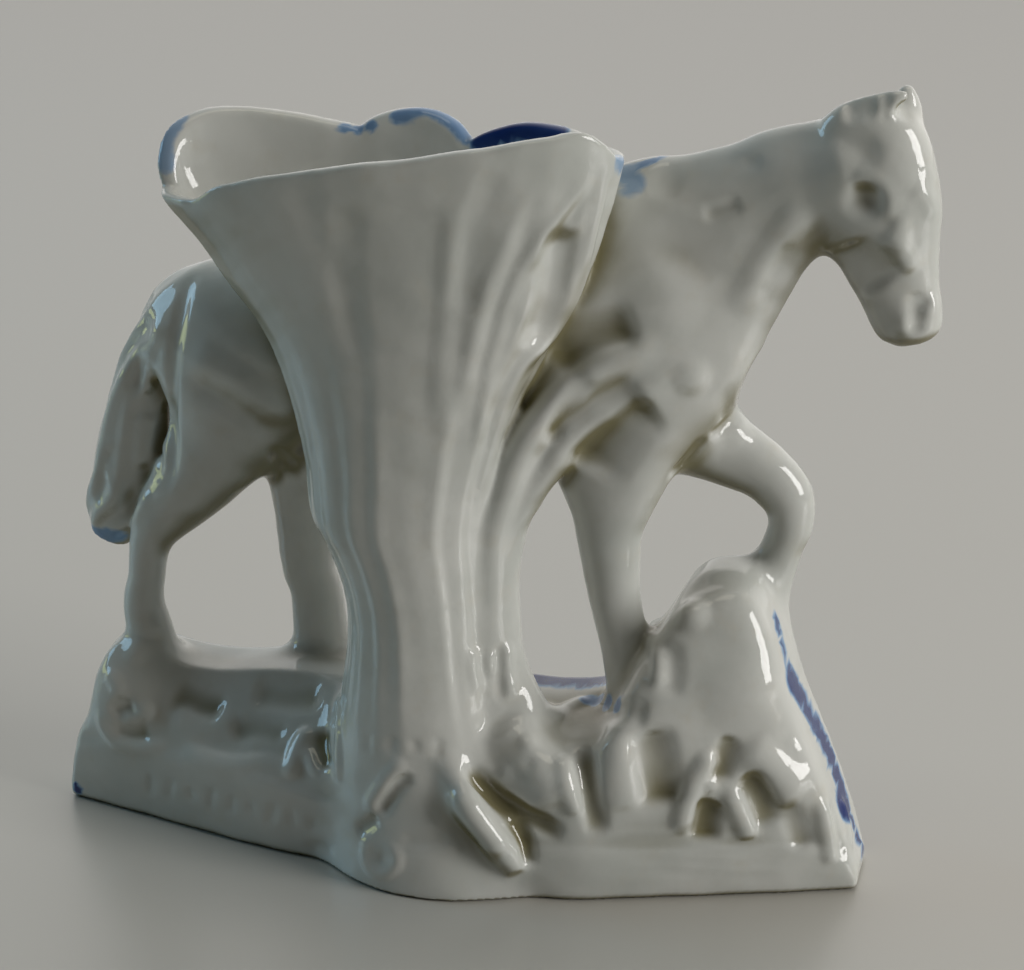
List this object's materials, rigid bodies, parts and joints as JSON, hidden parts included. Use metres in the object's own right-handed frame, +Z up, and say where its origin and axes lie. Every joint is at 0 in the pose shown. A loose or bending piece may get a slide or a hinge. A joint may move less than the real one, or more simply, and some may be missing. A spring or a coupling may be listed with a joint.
{
  "type": "figural bud vase",
  "caption": "Glazed porcelain bud vase: a walking horse fused to a fluted tree-trunk vase with a lobed mouth, on a rocky base.",
  "frame": {"origin": "middle of the foot's bounding box, on the surface the vase stands on", "axes": "+X the way the horse walks, +Z up, -Y towards the plain side that carries the vase"},
  "size_m": [0.113, 0.0336, 0.1012],
  "materials": {
    "porcelain": "glossy white glaze washed with cobalt blue on the painted side"
  },
  "bodies": {
    "root": {"horse_bud_vase": "porcelain"}
  },
  "joints": []
}
